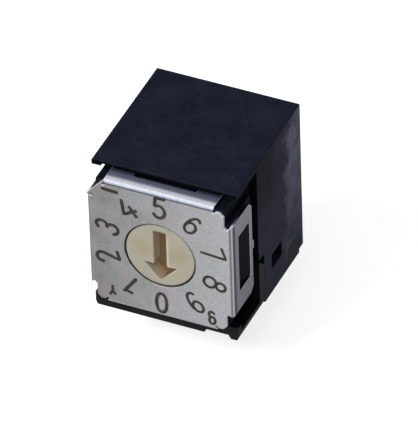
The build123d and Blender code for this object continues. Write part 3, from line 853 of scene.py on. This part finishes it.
# Pen strokes of the numerals, in millimetres about the numeral's middle, with Y up.
STROKES: dict[str, list[list[np.ndarray]]] = {
    "0": [[oval(0.35, 0.75)]],
    "1": [[line((-0.05, 0.58), (-0.04, -0.8))], [line((-0.05, 0.48), (-0.48, 0.34))]],
    "2": [
        [
            arc((0.05, 0.37), (0.36, 0.38), 172, -32),
            line((0.36, 0.17), (-0.3, -0.8)),
            line((-0.3, -0.8), (0.34, -0.83)),
        ]
    ],
    "3": [[arc((0.07, 0.36), (0.33, 0.38), 155, -84)], [arc((0.07, -0.4), (0.38, 0.41), 84, -150)]],
    "4": [
        [line((0.13, 0.66), (-0.38, -0.3)), line((-0.38, -0.3), (0.56, -0.38))],
        [line((0.34, 0.02), (0.32, -0.77))],
    ],
    "5": [
        [
            line((0.42, 0.8), (-0.19, 0.8)),
            line((-0.19, 0.8), (-0.24, 0.12)),
            arc((0.03, -0.28), (0.41, 0.49), 126, -148),
        ]
    ],
    "6": [
        [arc((0.06, -0.05), (0.41, 0.87), 196, 90), arc((0.06, 0.66), (0.18, 0.16), 90, 15)],
        [arc((0.03, -0.21), (0.36, 0.46))],
    ],
    "7": [[line((-0.44, 0.82), (0.4, 0.84)), line((0.4, 0.84), (-0.24, -0.73))]],
    "8": [[arc((-0.06, 0.5), (0.32, 0.33))], [arc((-0.03, -0.27), (0.42, 0.42))]],
    "9": [
        [arc((-0.07, 0.1), (0.39, 0.85), 20, -90), arc((-0.07, -0.5), (0.3, 0.25), -90, -160)],
        [arc((-0.08, 0.38), (0.33, 0.43))],
    ],
    "bar": [[line((0.0, 0.47), (0.0, -0.47))]],
    "open 8": [[arc((-0.02, 0.38), (0.24, 0.3), 35, 215)], [arc((0.02, -0.2), (0.26, 0.36))]],
    "open 4": [
        [line((0.0, 0.0), (0.0, -0.46))],
        [line((0.0, -0.04), (0.19, 0.24))],
        [line((0.0, -0.04), (-0.17, 0.16))],
    ],
}


@dataclass(frozen=True)
class Numeral:
    """One printed mark: which strokes, where on the plate, how it is turned and how large.

    Its lengths are in millimetres from the rotor's axis, and its turn is in degrees, clockwise.
    """

    strokes: str
    x: float
    height: float
    turn: float
    scale: float = 1.0
    pen: float = 0.21

    def placed(self, points: np.ndarray) -> np.ndarray:
        """Scale the mark, turn it clockwise by its angle, and put it at its place.

        Args:
            points: X and Y about the mark's middle.

        Returns:
            X and height from the rotor's axis.
        """
        cosine, sine = math.cos(math.radians(self.turn)), math.sin(math.radians(self.turn))
        rotation = np.array([[cosine, -sine], [sine, cosine]])
        return points * self.scale @ rotation + (self.x, self.height)


@dataclass(frozen=True)
class Ink:
    """Printed ink. Its strips are worked out in millimetres, and its angles are in degrees."""

    thickness: float = 0.008
    sunk: float = 0.4
    sides: int = 8
    cap_places: tuple[float, ...] = (90.0, 60.0, 30.0)
    cap_widths: tuple[float, ...] = (88.0, 60.0, 30.0)
    same_place: float = 1e-6
    finish: Finish = Finish(
        name="etched_ink",
        color=(0.034, 0.031, 0.024),
        warm=(0.065, 0.052, 0.034),
        cool=(0.022, 0.023, 0.021),
        roughness=0.6,
        specular=0.3,
        drift_size=0.7 * MM,
        drift=0.8,
        grain_tone=0.2,
        edge_radius=0.004 * MM,
        edge_strength=0.0,
    )

    def strip(self, path: np.ndarray, pen: float) -> tuple[np.ndarray, np.ndarray]:
        """A closed strip of ink along a path, with round ends.

        The section is a low dome: across is the half width times the cosine of the section's
        angle, and up is the thickness times its sine, cut off below the plate. At an end the
        half width follows a half circle: rings stand past the end by the pen's radius times
        the sine of the cap's angles, and are as wide as the radius times their cosine.

        Args:
            path: X and Y along the middle of the stroke.
            pen: width of the stroke.

        Returns:
            Vertices as X, height of the ink and Z, and faces.
        """
        keep = np.r_[True, np.linalg.norm(np.diff(path, axis=0), axis=1) > self.same_place]
        path = path[keep]
        radius, rings = pen / 2, len(self.cap_places)
        heading = np.gradient(path, axis=0)
        heading /= np.linalg.norm(heading, axis=1)[:, None]
        cap = radius * np.sin(np.radians(self.cap_places))[:, None]
        path = np.vstack([path[0] - heading[0] * cap, path, path[-1] + heading[-1] * cap[::-1]])
        ends = np.repeat(heading[:1], rings, 0), np.repeat(heading[-1:], rings, 0)
        heading = np.vstack([ends[0], heading, ends[1]])
        half = np.full(len(path), radius)
        half[:rings] = radius * np.cos(np.radians(self.cap_widths))
        half[-rings:] = half[:rings][::-1]
        side = np.stack([-heading[:, 1], heading[:, 0]], -1)
        angle = np.linspace(0.0, 2 * np.pi, self.sides, endpoint=False)
        flat = path[:, None] + side[:, None] * (half[:, None] * np.cos(angle))[..., None]
        dome = np.maximum(np.sin(angle), -self.sunk) * self.thickness
        rise = dome * (half / radius)[:, None]
        points = np.stack([flat[..., 0], rise, flat[..., 1]], -1).reshape(-1, 3)
        row = np.arange(len(path) - 1)[:, None] * self.sides
        this = np.arange(self.sides)
        after = (this + 1) % self.sides
        corners = [row + this, row + after, row + self.sides + after, row + self.sides + this]
        return points, np.stack(corners, -1).reshape(-1, 4)


@dataclass
class Cover:
    """Stamped metal cover with its printed dial. The print's lengths are in millimetres."""

    body: str = "case"
    dial_radius: float = 3.87
    positions: int = 10
    top_position: int = 5
    fine_pen: float = 0.21
    bold_pen: float = 0.245
    corner_marks: tuple[Numeral, ...] = (
        Numeral("bar", -3.36, 4.3, 93.0, pen=0.28),
        Numeral("open 4", -3.42, -3.98, 180.0, pen=0.2),
        Numeral("open 8", 3.5, -4.06, 0.0, scale=0.78, pen=0.2),
    )
    ink: Ink = Ink()

    def steel(self) -> FoldedSteel:
        """Finish of the plate, laid out from its front and from the middle of its dial."""
        low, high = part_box("cover_plate")
        return FoldedSteel(
            name="stamped_steel",
            color=(0.455, 0.44, 0.42),
            warm=(0.50, 0.465, 0.445),
            cool=(0.40, 0.40, 0.395),
            roughness=0.34,
            metallic=0.85,
            drift_size=0.8 * MM,
            drift=0.9,
            grain_size=0.18 * MM,
            grain_depth=0.002 * MM,
            grain_tone=0.4,
            edge_radius=0.08 * MM,
            # The pale edge colour is partly burnished edges and partly painted glints.
            edge_color=(0.75, 0.75, 0.78),
            edge_strength=0.7,
            edge_roughness=0.5,
            front=low.y,
            axis_height=(low.z + high.z) / 2,
        )

    def numerals(self) -> list[Numeral]:
        """The numerals round the rotor, clockwise from the top, and the corner marks.

        Returns:
            The marks in the order of their printing.
        """
        marks = []
        for step in range(self.positions):
            turn = 360.0 / self.positions * step
            digit = (self.top_position + step) % self.positions
            angle = math.radians(turn)
            x, height = self.dial_radius * math.sin(angle), self.dial_radius * math.cos(angle)
            pen = self.fine_pen if digit > self.top_position else self.bold_pen
            marks.append(Numeral(str(digit), x, height, turn, pen=pen))
        return marks + list(self.corner_marks)

    def print_dial(self) -> Object:
        """Make the printed marks as one piece on the front of the plate.

        Returns:
            The piece.
        """
        low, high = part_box("cover_plate")
        front = low.y / MM
        axis_height = (low.z + high.z) / 2 / MM
        points, faces, count = [], [], 0
        for mark in self.numerals():
            for stroke in STROKES[mark.strokes]:
                strip, quads = self.ink.strip(mark.placed(np.vstack(stroke)), mark.pen)
                strip[:, 1] = front - strip[:, 1]
                strip[:, 2] += axis_height
                points.append(strip)
                faces.append(quads + count)
                count += len(strip)
        dial = mesh_piece("dial_marks", np.vstack(points) * MM, np.vstack(faces))
        outwards(dial)
        smooth_shading(dial)
        return dial

    def build(self) -> None:
        """Dress the plate and add the print."""
        dress("cover_plate", self.steel().material())
        dial = self.print_dial()
        dial.data.materials.append(self.ink.finish.material())
        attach(dial, self.body)
        LOG.info("dial_marks: %d faces", len(dial.data.polygons))


def dress(node: str, material: Material) -> None:
    """Give a solid its finish."""
    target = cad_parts[node]
    target.data.materials.clear()
    target.data.materials.append(material)
    LOG.info("%s: %s", node, material.name)


def dress_all(prefix: str, material: Material) -> None:
    """Give the same finish to every solid whose name starts with the prefix."""
    for node in sorted(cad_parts):
        if node.startswith(prefix):
            dress(node, material)


@dataclass
class Enclosure:
    """Black hood and base."""

    hood: HazyBlack = HazyBlack(
        name="hood_moulding",
        color=(0.0210, 0.0240, 0.0425),
        warm=(0.027, 0.030, 0.048),
        cool=(0.016, 0.020, 0.040),
        roughness=0.36,
        specular=0.02,
        drift_size=1.4 * MM,
        drift=1.0,
        grain_size=0.16 * MM,
        grain_depth=0.01 * MM,
        grain_tone=0.6,
        edge_radius=0.06 * MM,
        edge_color=(0.02, 0.022, 0.03),
        edge_strength=0.5,
        edge_roughness=0.35,
    )
    base: Finish = Finish(
        name="base_moulding",
        color=(0.005, 0.005, 0.008),
        warm=(0.012, 0.009, 0.008),
        cool=(0.005, 0.006, 0.011),
        roughness=0.42,
        specular=0.16,
        drift_size=1.2 * MM,
        drift=0.7,
        grain_size=0.15 * MM,
        grain_depth=0.0025 * MM,
        grain_tone=0.3,
        edge_radius=0.06 * MM,
        edge_color=(0.03, 0.03, 0.035),
        edge_strength=0.6,
    )

    def build(self) -> None:
        """Dress the hood and the base."""
        dress("hood", self.hood.material())
        dress("base", self.base.material())


@dataclass
class Mechanism:
    """Housing, contact carrier, rotor, seal, spring, and code disc with its tracks and wipers."""

    housing: Finish = Finish(
        name="housing_moulding",
        color=(0.006, 0.008, 0.014),
        warm=(0.009, 0.009, 0.013),
        cool=(0.005, 0.009, 0.017),
        roughness=0.5,
        specular=0.03,
        grain_depth=0.002 * MM,
        grain_tone=0.3,
        edge_color=(0.03, 0.03, 0.04),
        edge_strength=0.5,
    )
    seal: Finish = Finish(
        name="seal_rubber",
        color=(0.012, 0.012, 0.012),
        warm=(0.016, 0.014, 0.012),
        cool=(0.011, 0.012, 0.014),
        roughness=0.7,
        specular=0.3,
        edge_strength=0.1,
    )
    spring: Finish = Finish(
        name="spring_strip",
        color=(0.55, 0.55, 0.56),
        warm=(0.58, 0.55, 0.5),
        cool=(0.5, 0.52, 0.57),
        roughness=0.3,
        metallic=1.0,
        grain_tone=0.08,
        edge_color=(0.8, 0.8, 0.8),
    )
    disc: Finish = Finish(
        name="disc_laminate",
        color=(0.10, 0.20, 0.08),
        warm=(0.16, 0.2, 0.08),
        cool=(0.07, 0.17, 0.09),
        roughness=0.45,
        grain_size=0.3 * MM,
        grain_tone=0.2,
        edge_strength=0.2,
    )
    plating: Finish = Finish(
        name="gold_plating",
        color=(0.86, 0.62, 0.25),
        warm=(0.9, 0.6, 0.2),
        cool=(0.8, 0.62, 0.3),
        roughness=0.25,
        metallic=1.0,
        grain_tone=0.05,
        edge_color=(0.95, 0.8, 0.45),
    )

    def cream(self) -> RotorCream:
        """Cream finish of the rotor, laid out from the rotor's own face and axis."""
        low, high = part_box("rotor")
        return RotorCream(
            name="rotor_moulding",
            color=(0.400, 0.375, 0.290),
            warm=(0.43, 0.36, 0.25),
            cool=(0.35, 0.35, 0.27),
            roughness=0.5,
            specular=0.4,
            drift_size=0.8 * MM,
            drift=0.8,
            grain_size=0.2 * MM,
            grain_depth=0.002 * MM,
            grain_tone=0.06,
            edge_radius=0.1 * MM,
            # The rotor's pale edge colour is a painted highlight, to the right of the slot.
            edge_color=(0.72, 0.67, 0.52),
            edge_strength=0.8,
            edge_roughness=0.35,
            front=low.y,
            axis_height=(low.z + high.z) / 2,
        )

    def build(self) -> None:
        """Dress every piece of the mechanism."""
        housing, plating = self.housing.material(), self.plating.material()
        dress("switch_housing", housing)
        dress("contact_carrier", housing)
        dress("rotor", self.cream().material())
        dress("rotor_seal", self.seal.material())
        dress("detent_spring", self.spring.material())
        dress("code_disc", self.disc.material())
        dress("code_tracks", plating)
        dress_all("wiper_", plating)


@dataclass
class Terminals:
    """Tin-plated terminals and the resin that seals them."""

    tin: Finish = Finish(
        name="tin_plating",
        color=(0.62, 0.62, 0.60),
        warm=(0.6, 0.58, 0.52),
        cool=(0.56, 0.58, 0.6),
        roughness=0.34,
        metallic=1.0,
        drift_size=0.8 * MM,
        grain_size=0.1 * MM,
        grain_depth=0.002 * MM,
        grain_tone=0.1,
        edge_radius=0.03 * MM,
        edge_color=(0.8, 0.8, 0.78),
    )
    resin: Finish = Finish(
        name="potting_resin",
        color=(0.03, 0.024, 0.018),
        warm=(0.05, 0.035, 0.02),
        cool=(0.02, 0.02, 0.02),
        roughness=0.18,
        coat=0.4,
        edge_strength=0.1,
    )

    def build(self) -> None:
        """Dress the terminals and the potting."""
        dress_all("terminal_", self.tin.material())
        dress("potting", self.resin.material())


class Lamp(Enum):
    """The studio's lamps: place, size in metres and power in watts."""

    KEY = ((-0.16, -0.26, 0.30), 0.15, 1.25)
    TOP = ((0.02, -0.14, 0.38), 0.25, 0.35)
    FILL = ((0.22, -0.32, 0.12), 0.25, 0.35)


@dataclass
class Studio:
    """Floor, lamps, surroundings and camera. Angles are in degrees."""

    frame_height: int = 444
    azimuth: float = 25.241
    elevation: float = 39.109
    roll: float = -1.942
    distance: float = 499.69 * MM
    pixels_per_metre: float = 15798.0
    aim_right: float = 3.108 * MM
    aim_up: float = 2.144 * MM
    sensor: float = 36.0
    clip: Pair = (0.05, 5.0)
    floor_half: float = 0.6
    white: Color = (1.0, 1.0, 1.0)
    sky: Color = (0.17, 0.18, 0.21)
    floor_paint: Color = (0.6, 0.6, 0.6)
    floor_glow: float = 0.75
    floor_gloss: float = 0.06
    backdrop_top: float = 0.3

    def camera(self) -> None:
        """Stand the camera where the photograph was taken.

        The view direction follows from azimuth and elevation, the picture is then rolled,
        and the lens gives the measured pixels per metre at the aim point.
        """
        turn, tilt, roll = (math.radians(x) for x in (self.azimuth, self.elevation, self.roll))
        level = Vector((math.cos(turn), math.sin(turn), 0.0))
        ahead = Vector((math.sin(turn), -math.cos(turn), 0.0))
        back = math.cos(tilt) * ahead + Vector((0.0, 0.0, math.sin(tilt)))
        upright = back.cross(level)
        right = math.cos(roll) * level + math.sin(roll) * upright
        up = math.cos(roll) * upright - math.sin(roll) * level
        low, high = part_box("cover_plate")
        centre = Vector(((low.x + high.x) / 2, low.y, (low.z + high.z) / 2))
        place = centre + right * self.aim_right + up * self.aim_up + back * self.distance
        data = bpy.data.cameras.new("camera")
        data.sensor_width = self.sensor
        data.lens = self.pixels_per_metre * self.distance * self.sensor / self.frame_height
        data.clip_start, data.clip_end = self.clip
        eye = bpy.data.objects.new("camera", data)
        axes = Matrix((right, up, back)).transposed().to_4x4()
        eye.matrix_world = Matrix.Translation(place) @ axes
        bpy.context.scene.collection.objects.link(eye)
        bpy.context.scene.camera = eye

    @staticmethod
    def seen(canvas: Canvas, mirrored: Source) -> Socket:
        """How white a backdrop shows to a ray.

        Args:
            canvas: the backdrop's node tree.
            mirrored: what a ray from metal or glass sees.

        Returns:
            1 for a ray from the camera, the given share for a mirrored one, 0 for others.
        """
        path = canvas.node("LightPath").outputs
        glossy = canvas.any_of(path["Is Glossy Ray"], path["Is Transmission Ray"])
        return canvas.any_of(path["Is Camera Ray"], canvas.all_of(glossy, mirrored))

    def floor(self) -> None:
        """Lay the pale floor under the terminals' points, near white for the camera."""
        low, _ = CAD_BOX
        reach = np.linspace(-self.floor_half, self.floor_half, 2)
        x, y = np.meshgrid(reach, reach, indexing="ij")
        points = np.stack([x, y, np.full_like(x, low.z)], -1).reshape(-1, 3)
        ground = mesh_piece("floor", points, np.array([[0, 2, 3, 1]]))
        made = bpy.data.materials.new("pale_floor")
        made.use_nodes = True
        canvas = Canvas(made.node_tree)
        paint = canvas.node("BsdfDiffuse", {"Color": self.floor_paint})
        seen = self.seen(canvas, self.floor_gloss / self.floor_glow)
        strength = canvas.all_of(seen, self.floor_glow)
        glow = canvas.node("Emission", {"Color": self.white, "Strength": strength})
        both = canvas.node("AddShader", {0: paint.outputs[0], 1: glow.outputs[0]})
        canvas.node("OutputMaterial", {"Surface": both.outputs[0]})
        ground.data.materials.append(made)

    def surroundings(self) -> None:
        """Soft grey room light, with a white backdrop for the camera.

        Metal and glass see the backdrop too, up to the height where the room's light begins.
        """
        world = bpy.data.worlds.new("studio")
        world.use_nodes = True
        canvas = Canvas(world.node_tree)
        _, _, rise = canvas.axes(canvas.node("TexCoord").outputs["Generated"])
        backdrop = canvas.spread(rise, self.backdrop_top, self.backdrop_top / 2)
        room = canvas.node("Background", {"Color": self.sky})
        white = canvas.node("Background", {"Color": self.white})
        shares = {0: self.seen(canvas, backdrop), 1: room.outputs[0], 2: white.outputs[0]}
        mixed = canvas.node("MixShader", shares)
        canvas.node("OutputWorld", {"Surface": mixed.outputs[0]})
        bpy.context.scene.world = world

    def lamps(self) -> None:
        """Hang each lamp and turn it to the switch."""
        centre = (CAD_BOX[0] + CAD_BOX[1]) / 2
        for lamp in Lamp:
            place, size, power = lamp.value
            data = bpy.data.lights.new(lamp.name.lower() + "_lamp", "AREA")
            data.shape = "SQUARE"
            data.size = size
            data.energy = power
            made = bpy.data.objects.new(data.name, data)
            made.location = place
            made.rotation_euler = (centre - Vector(place)).to_track_quat("-Z", "Y").to_euler()
            bpy.context.scene.collection.objects.link(made)

    def build(self) -> None:
        """Set up everything round the switch."""
        self.camera()
        self.floor()
        self.surroundings()
        self.lamps()
        bpy.context.scene.view_settings.view_transform = "Standard"


EFFECTS = Effects()


def main() -> None:
    """Build the studio and every sub-assembly."""
    logging.basicConfig(level=logging.INFO, format="%(message)s")
    for part in (Studio(), Cover(), Mechanism(), Terminals(), Enclosure()):
        LOG.info("building %s", type(part).__name__)
        part.build()


if __name__ == "__main__":
    main()
